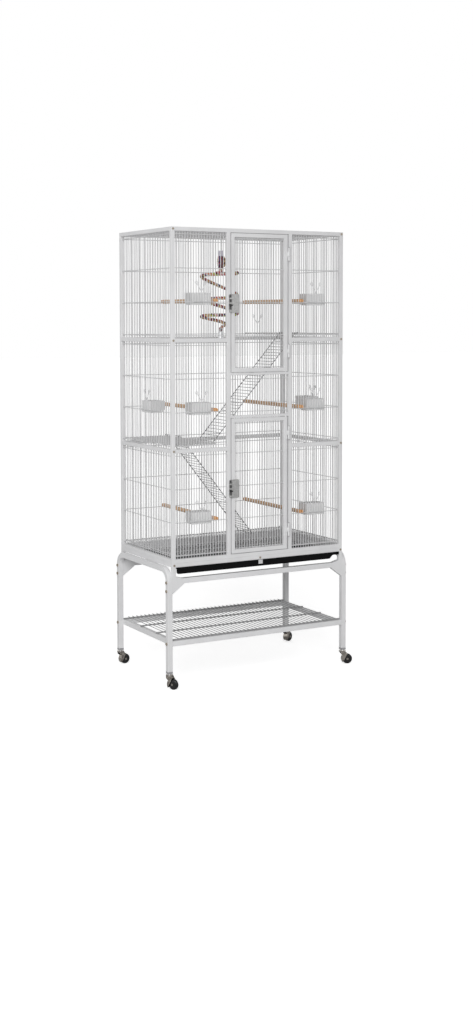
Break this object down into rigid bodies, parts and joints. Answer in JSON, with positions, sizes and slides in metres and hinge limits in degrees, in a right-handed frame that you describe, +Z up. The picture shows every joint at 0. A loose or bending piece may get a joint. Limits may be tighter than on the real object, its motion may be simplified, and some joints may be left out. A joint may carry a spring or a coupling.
{
  "type": "bird cage",
  "caption": "Tall wire flight cage with two hinged front doors, pull-out tray, ladders, perches, cups and hanging toy, on a two-arch rolling stand with a wire shelf.",
  "frame": {"origin": "on the floor, under the middle of the cage body", "axes": "+Z up, front with the doors and the tray towards -Y, +X to the right seen from the front"},
  "size_m": [0.838, 0.4978, 1.74],
  "materials": {
    "frame_paint": "light grey hammered powder coat",
    "wire_paint": "light grey powder coat",
    "zinc": "zinc plated",
    "chrome": "chrome plated",
    "screw_metal": "dull metal",
    "black_plastic": "glossy black",
    "dark_plastic": "dark grey",
    "cup_plastic": "translucent grey white",
    "perch_wood": "bare hardwood",
    "rope": "twisted cotton in several colours",
    "toy_cap": "pale lavender and dark red"
  },
  "bodies": {
    "cage": {"left_frame": "frame_paint", "right_frame": "frame_paint", "front_frame": "frame_paint", "rear_frame": "frame_paint", "base_rails": "frame_paint", "front_left_wires": "wire_paint", "front_right_wires": "wire_paint", "front_middle_wires": "wire_paint", "rear_wires": "wire_paint", "left_wires": "wire_paint", "right_wires": "wire_paint", "roof_wires": "wire_paint", "hinge_leaves": "zinc", "hinge_pins": "zinc", "latch_keepers": "zinc", "frame_screws": "screw_metal", "tray_runners": "frame_paint", "floor_grate": "wire_paint", "platforms": "wire_paint", "ladders": "wire_paint", "left_arch": "frame_paint", "right_arch": "frame_paint", "stand_rails": "frame_paint", "stand_bolts": "screw_metal", "shelf_frame": "frame_paint", "shelf_wires": "wire_paint", "leg_inserts": "dark_plastic", "caster_stems": "chrome", "perches": "perch_wood", "cups": "cup_plastic", "cup_hooks": "zinc"},
    "upper_door": {"upper_door_frame": "frame_paint", "upper_door_wires": "wire_paint", "upper_door_leaves": "zinc", "upper_latch_plate": "zinc"},
    "lower_door": {"lower_door_frame": "frame_paint", "lower_door_wires": "wire_paint", "lower_door_leaves": "zinc", "lower_latch_plate": "zinc"},
    "upper_latch": {"upper_latch_pin": "black_plastic"},
    "lower_latch": {"lower_latch_pin": "black_plastic"},
    "tray": {"tray": "black_plastic", "tray_tab": "wire_paint"},
    "toy": {"toy_hook": "zinc", "toy_bundle": "toy_cap", "toy_rope": "rope", "toy_bell": "zinc"},
    "caster_fl": {"fork_fl": "zinc", "axle_fl": "zinc"},
    "wheel_fl": {"wheel_fl": "black_plastic"},
    "caster_rl": {"fork_rl": "zinc", "axle_rl": "zinc"},
    "wheel_rl": {"wheel_rl": "black_plastic"},
    "caster_fr": {"fork_fr": "zinc", "axle_fr": "zinc"},
    "wheel_fr": {"wheel_fr": "black_plastic"},
    "caster_rr": {"fork_rr": "zinc", "axle_rr": "zinc"},
    "wheel_rr": {"wheel_rr": "black_plastic"}
  },
  "joints": [
    {"name": "upper_door_hinge", "type": "hinge", "parent": "cage", "child": "upper_door", "pos_m": [0.1275, -0.235, 1.458], "axis": [0, 0, 1], "range_deg": [0, 165]},
    {"name": "lower_door_hinge", "type": "hinge", "parent": "cage", "child": "lower_door", "pos_m": [0.1275, -0.235, 0.755], "axis": [0, 0, 1], "range_deg": [0, 165]},
    {"name": "upper_latch_drop", "type": "slide", "parent": "upper_door", "child": "upper_latch", "axis": [0, 0, -1], "range_m": [0, 0.012]},
    {"name": "lower_latch_drop", "type": "slide", "parent": "lower_door", "child": "lower_latch", "axis": [0, 0, -1], "range_m": [0, 0.012]},
    {"name": "tray_slide", "type": "slide", "parent": "cage", "child": "tray", "axis": [0, -1, 0], "range_m": [0, 0.4]},
    {"name": "toy_swing", "type": "hinge", "parent": "cage", "child": "toy", "pos_m": [-0.04594, 0, 1.7325], "axis": [0, 1, 0], "range_deg": [-8, 8]},
    {"name": "swivel_fl", "type": "hinge", "parent": "cage", "child": "caster_fl", "pos_m": [-0.3925, -0.22, 0.05], "axis": [0, 0, 1], "continuous": true},
    {"name": "roll_fl", "type": "hinge", "parent": "caster_fl", "child": "wheel_fl", "pos_m": [-0.38405, -0.23813, 0.02], "axis": [0.9063, 0.4226, 0], "continuous": true},
    {"name": "swivel_rl", "type": "hinge", "parent": "cage", "child": "caster_rl", "pos_m": [-0.3925, 0.22, 0.05], "axis": [0, 0, 1], "continuous": true},
    {"name": "roll_rl", "type": "hinge", "parent": "caster_rl", "child": "wheel_rl", "pos_m": [-0.37265, 0.22244, 0.02], "axis": [-0.1219, 0.9925, 0], "continuous": true},
    {"name": "swivel_fr", "type": "hinge", "parent": "cage", "child": "caster_fr", "pos_m": [0.3925, -0.22, 0.05], "axis": [0, 0, 1], "continuous": true},
    {"name": "roll_fr", "type": "hinge", "parent": "caster_fr", "child": "wheel_fr", "pos_m": [0.41117, -0.22717, 0.02], "axis": [0.3584, 0.9336, 0], "continuous": true},
    {"name": "swivel_rr", "type": "hinge", "parent": "cage", "child": "caster_rr", "pos_m": [0.3925, 0.22, 0.05], "axis": [0, 0, 1], "continuous": true},
    {"name": "roll_rr", "type": "hinge", "parent": "caster_rr", "child": "wheel_rr", "pos_m": [0.41117, 0.22717, 0.02], "axis": [-0.3584, 0.9336, 0], "continuous": true}
  ]
}
